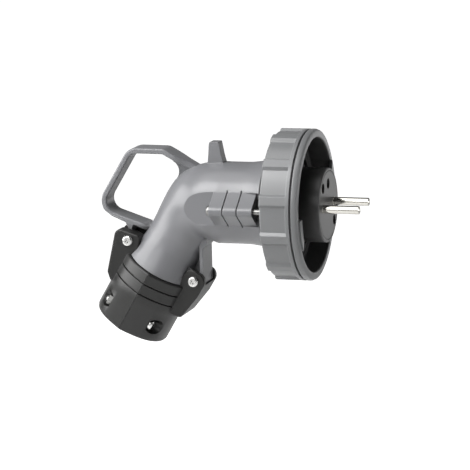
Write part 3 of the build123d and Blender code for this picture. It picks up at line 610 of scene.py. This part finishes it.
@dataclass
class ElbowBody(SmoothPiece):
    """Elbow housing, whose finger loop is a wide thin strap and whose neck widens to a bell."""

    strap_widen_mm: float = 4.0
    strap_thin_mm: float = 0.65
    bar_half_mm: float = 5.6
    slope_from_mm: tuple[float, float] = (-83.5, 21.2)
    slope_to_mm: tuple[float, float] = (-113.7, 37.9)
    slope_root_mm: float = 12.0
    slope_full_mm: float = 27.0
    slope_cuts: int = 5
    slope_depth_mm: float = 16.0
    upper_least_z_mm: float = 25.0
    lower_root_x_mm: float = -129.0
    lower_root_s_mm: float = -24.0
    lower_most_t_mm: float = 41.5
    root_gap_mm: float = 0.01
    neck_skin_mm: tuple[float, float] = (20.4, 23.2)
    flare_from_mm: float = 29.0
    flare_power: float = 1.4
    flare_to_mm: float = 56.9
    flare_side_mm: float = 4.2
    flare_near_mm: float = 7.0
    flare_cuts: int = 9
    shoulder_mm: float = 0.3
    shoulder_share: float = 0.1

    def flare_neck(self, work: bmesh.types.BMesh) -> None:
        """Widens the neck to a bell that ends in a shoulder on the clamp.

        Args:
            work: the joined mesh in metres.
        """
        corner = Vector((CABLE.corner_x_mm, 0.0, 0.0))
        length = self.flare_to_mm - self.flare_from_mm
        stations = [self.flare_from_mm + length * k / self.flare_cuts
                    for k in range(1, self.flare_cuts + 1)]
        for t_mm in stations + [self.flare_to_mm + self.shoulder_mm]:
            self.cut(work, (corner + CABLE.along() * t_mm) * MM, CABLE.along())
        least, most = self.neck_skin_mm
        last_run = 1.0 + self.shoulder_share * self.shoulder_mm / length
        for vert in work.verts:
            s, t = CABLE.place(vert.co)
            y = vert.co.y / MM
            reach = math.hypot(s, y)
            run = (t - self.flare_from_mm) / length
            if 0.0 < run < last_run and least < reach < most:
                to_near = self.flare_near_mm - self.flare_side_mm
                wide = self.flare_side_mm + to_near * (y / reach) ** 2
                vert.co += CABLE.outward(s, y) * (wide * run ** self.flare_power * MM / reach)

    def slope(self) -> tuple[Vector, Vector]:
        """Gives the line of the bar that slopes up from the elbow.

        Returns:
            Its start in millimetres and its direction.
        """
        start = Vector((self.slope_from_mm[0], 0.0, self.slope_from_mm[1]))
        end = Vector((self.slope_to_mm[0], 0.0, self.slope_to_mm[1]))
        return start, (end - start).normalized()

    def strap_share(self, spot: Vector) -> float:
        """Tells how far a point of the surface takes part in the strap's change of section.

        Args:
            spot: point in metres.

        Returns:
            1 on the free part of the loop, less towards its upper root and 0 elsewhere.
        """
        x, y, z = spot / MM
        s, t = CABLE.place(spot)
        if abs(y) > self.bar_half_mm:
            return 0.0
        if x < self.slope_to_mm[0] and z > self.upper_least_z_mm:
            return 1.0
        if x < self.lower_root_x_mm and s < self.lower_root_s_mm and t < self.lower_most_t_mm:
            return 1.0
        start, way = self.slope()
        arm = Vector((x, 0.0, z)) - start
        run = arm.dot(way)
        if (arm - way * run).length > self.slope_depth_mm:
            return 0.0
        return eased((run - self.slope_root_mm) / (self.slope_full_mm - self.slope_root_mm))

    def form(self, work: bmesh.types.BMesh) -> None:
        """Widens the neck, then widens and thins the loop's bar between cuts at its roots.

        Args:
            work: the joined mesh in metres.
        """
        self.flare_neck(work)
        start, way = self.slope()
        step = (self.slope_full_mm - self.slope_root_mm) / self.slope_cuts
        for k in range(1, self.slope_cuts + 1):
            self.cut(work, (start + way * (self.slope_root_mm + step * k)) * MM, way)
        lower_root = Vector((self.lower_root_x_mm - self.root_gap_mm, 0.0, 0.0))
        self.cut(work, lower_root * MM, Vector((-1.0, 0.0, 0.0)))
        work.normal_update()
        moves = []
        for vert in work.verts:
            share = self.strap_share(vert.co)
            if share > 0.0:
                inward = Vector((-vert.normal.x, 0.0, -vert.normal.z))
                wide = Vector((0.0, math.copysign(self.strap_widen_mm, vert.co.y), 0.0))
                moves.append((vert, (inward * self.strap_thin_mm + wide) * (share * MM)))
        for vert, move in moves:
            vert.co += move


@dataclass(frozen=True)
class Softbox:
    """A soft lamp, placed in degrees round the object, sized in metres, with its brightness."""

    name: str
    azimuth: float
    elevation: float
    width: float
    height: float
    radiance: float


SOFTBOXES = [
    Softbox("key softbox", -35.0, 48.0, 0.36, 0.36, 12.0),
    Softbox("front fill", -14.0, 26.0, 0.5, 0.34, 3.5),
    Softbox("left bank", -70.0, 18.0, 0.7, 0.55, 5.7),
    Softbox("top bank", -45.0, 76.0, 0.6, 0.4, 2.5),
    Softbox("right fill", 100.0, 10.0, 0.4, 0.4, 3.8),
]


@dataclass
class Studio:
    """Floor, lamps, world and camera, in metres and degrees where the name says nothing else."""

    floor_z: float = -0.30
    floor_half: float = 6.0
    sweep_height: float = 4.0
    # The floor's glow in reflections is a painted reflection, with painted shade near the object and
    # up the back.
    glint_near: float = 0.1
    glint_far: float = 1.0
    glint_from: float = 1.1
    glint_to: float = 1.6
    back_glint: float = 0.15
    back_from: float = -0.25
    back_to: float = 0.35
    ambient: float = 0.06
    camera_aim: Vector = field(default_factory=lambda: Vector((-0.0625, 0.0, -0.0243)))
    camera_azimuth: float = 16.9
    camera_elevation: float = 10.6
    camera_roll: float = -1.4
    camera_distance: float = 2.202
    camera_sight: float = 50.0
    focal_pixels: float = 3000.0
    image_pixels: float = 470.0
    sensor_mm: float = 36.0
    lamp_distance: float = 0.8

    @staticmethod
    def direction(azimuth: float, elevation: float) -> Vector:
        """Gives the direction from the object to a point round it.

        Args:
            azimuth: degrees from the near side towards +X.
            elevation: degrees above the horizon.

        Returns:
            Unit vector.
        """
        a, e = math.radians(azimuth), math.radians(elevation)
        return Vector((math.sin(a) * math.cos(e), -math.cos(a) * math.cos(e), math.sin(e)))

    def face_plug(self, item: bpy.types.Object, way: Vector, distance: float,
                  roll: float = 0.0) -> None:
        """Places a lamp or the camera round the plug and turns it to face the plug.

        Args:
            item: the lamp or camera.
            way: direction from the plug to it.
            distance: metres from the plug.
            roll: degrees that it is turned about its own sight line.
        """
        item.location = self.camera_aim + way * distance
        item.rotation_mode = "QUATERNION"
        rolled = Quaternion((0.0, 0.0, 1.0), math.radians(roll))
        item.rotation_quaternion = (-way).to_track_quat("-Z", "Y") @ rolled

    def camera(self) -> None:
        """Sets the camera at the photograph's angle."""
        data = bpy.data.cameras.new("camera")
        data.sensor_width = self.sensor_mm
        data.lens = self.focal_pixels / self.image_pixels * self.sensor_mm
        data.clip_end = self.camera_sight
        cam = add_object("camera", data)
        back = self.direction(self.camera_azimuth, self.camera_elevation)
        self.face_plug(cam, back, self.camera_distance, self.camera_roll)
        bpy.context.scene.camera = cam

    def lamp(self, box: Softbox) -> None:
        """Adds one softbox that faces the object.

        Args:
            box: the softbox.
        """
        data = bpy.data.lights.new(box.name, "AREA")
        data.shape = "RECTANGLE"
        data.size = box.width
        data.size_y = box.height
        data.energy = box.radiance * math.pi * box.width * box.height
        way = self.direction(box.azimuth, box.elevation)
        self.face_plug(add_object(box.name, data), way, self.lamp_distance)

    def floor_material(self) -> bpy.types.Material:
        """Builds the floor's material, white for the camera, and glowing in reflections as a painted
        reflection that is dimmer near the object and up its back.

        Returns:
            The node material.
        """
        material, tree = new_material("white studio floor")
        path = add_node(tree, "ShaderNodeLightPath")
        place = add_node(tree, "ShaderNodeTexCoord")
        reach = add_node(tree, "ShaderNodeVectorMath", {"operation": "LENGTH"},
                         {0: place.outputs["Object"]})
        # Painted shade in reflections: the glow that glossy rays see is dim near the object and full
        # far from it.
        shade = add_node(tree, "ShaderNodeMapRange", {
            "From Min": self.glint_from, "From Max": self.glint_to, "To Min": self.glint_near,
            "To Max": self.glint_far}, {0: reach.outputs["Value"]})
        axes = add_node(tree, "ShaderNodeSeparateXYZ", None, {0: place.outputs["Object"]})
        # Painted reflection of a darker surround: the glow that glossy rays see fades up the upright
        # back.
        fall = add_node(tree, "ShaderNodeMapRange", {
            "From Min": self.back_from, "From Max": self.back_to, "To Min": 1.0,
            "To Max": self.back_glint}, {0: axes.outputs["Z"]})
        level = add_node(tree, "ShaderNodeMath", {"operation": "MULTIPLY"},
                         {0: shade.outputs[0], 1: fall.outputs[0]})
        glint = add_node(tree, "ShaderNodeMath", {"operation": "MULTIPLY"},
                         {0: path.outputs["Is Glossy Ray"], 1: level.outputs[0]})
        lift = add_node(tree, "ShaderNodeMath", {"operation": "ADD"},
                        {0: path.outputs["Is Camera Ray"], 1: glint.outputs[0]})
        paper = add_node(tree, "ShaderNodeBsdfDiffuse", {"Color": linear(PAPER)})
        glow = add_node(tree, "ShaderNodeEmission", {"Color": linear(WHITE)},
                        {"Strength": lift.outputs[0]})
        both = add_node(tree, "ShaderNodeAddShader", None,
                        {0: paper.outputs[0], 1: glow.outputs[0]})
        add_node(tree, "ShaderNodeOutputMaterial", None, {"Surface": both.outputs[0]})
        return material

    def floor(self) -> None:
        """Adds the pale floor and its upright back, which look white and still take the shadow."""
        mesh = bpy.data.meshes.new("floor")
        work = bmesh.new()
        bmesh.ops.create_grid(work, x_segments=1, y_segments=1, size=self.floor_half)
        bmesh.ops.translate(work, verts=work.verts, vec=(0, 0, self.floor_z))
        far = [edge for edge in work.edges if all(vert.co.y > 0 for vert in edge.verts)]
        raised = bmesh.ops.extrude_edge_only(work, edges=far)["geom"]
        top = [item for item in raised if isinstance(item, bmesh.types.BMVert)]
        bmesh.ops.translate(work, verts=top, vec=(0, 0, self.sweep_height))
        work.to_mesh(mesh)
        work.free()
        floor = add_object("floor", mesh)
        mesh.materials.append(self.floor_material())

    def world(self) -> None:
        """Sets a white surround for the camera and a dim one for the light."""
        world = bpy.data.worlds.new("studio")
        bpy.context.scene.world = world
        world.use_nodes = True
        tree = world.node_tree
        tree.nodes.clear()
        path = add_node(tree, "ShaderNodeLightPath")
        level = add_node(tree, "ShaderNodeMapRange", {"To Min": self.ambient, "To Max": 1.0},
                         {0: path.outputs["Is Camera Ray"]})
        back = add_node(tree, "ShaderNodeBackground", {"Color": linear(WHITE)},
                        {"Strength": level.outputs[0]})
        add_node(tree, "ShaderNodeOutputWorld", None, {"Surface": back.outputs[0]})

    def build(self) -> None:
        """Sets everything round the object."""
        self.floor()
        self.world()
        for box in SOFTBOXES:
            self.lamp(box)
        self.camera()
        bpy.context.scene.view_settings.view_transform = "Standard"


SMOOTH_PIECES = [
    ElbowBody("elbow_body", Slot.HOUSING, Body.HOUSING, crease_deg=16.0, soft_deg=60.0,
              soft_zone=SoftZone(-69.5, -37.3, 27.7, 13.0)),
    SmoothPiece("coupling_ring", Slot.RING, Body.RING),
    SmoothPiece("shroud", Slot.SHROUD, Body.HOUSING),
    SmoothPiece("contact_carrier", Slot.CARRIER, Body.HOUSING),
    SmoothPiece("contact_pin_near", Slot.PLATING, Body.HOUSING),
    SmoothPiece("contact_pin_far", Slot.PLATING, Body.HOUSING),
    ClampHalf("clamp_half_outer", Slot.CLAMP, Body.HOUSING),
    ClampHalf("clamp_half_inner", Slot.CLAMP, Body.HOUSING),
    # Painted shade: the flange screws take a darker zinc than the ear screws.
    SmoothPiece("flange_screws", Slot.STEEL, Body.HOUSING, finish=Finish.ROUGH_SHADED_ZINC),
    SmoothPiece("ear_screws", Slot.STEEL, Body.HOUSING),
    SmoothPiece("pinch_screws", Slot.STEEL, Body.HOUSING),
    # Painted shade: the pinch nuts take a darker zinc than the pinch screws.
    SmoothPiece("pinch_nuts", Slot.STEEL, Body.HOUSING, finish=Finish.ROUGH_SHADED_ZINC),
    SmoothPiece("mating_seal", Slot.RUBBER, Body.HOUSING),
]


def main() -> None:
    """Builds the pieces, dresses the other solids and sets the studio."""
    logging.basicConfig(level=logging.INFO, format="%(name)s: %(message)s")
    paint = Paint()
    done = set()
    for piece in SMOOTH_PIECES:
        piece.build(paint)
        done.add(piece.node)
    for part in frame["record"]["subparts"]:
        if part["node"] not in done:
            paint.put(frame["nodes"][part["node"]], Slot(part["material_slot"]))
    Studio().build()


if __name__ == "__main__":
    main()
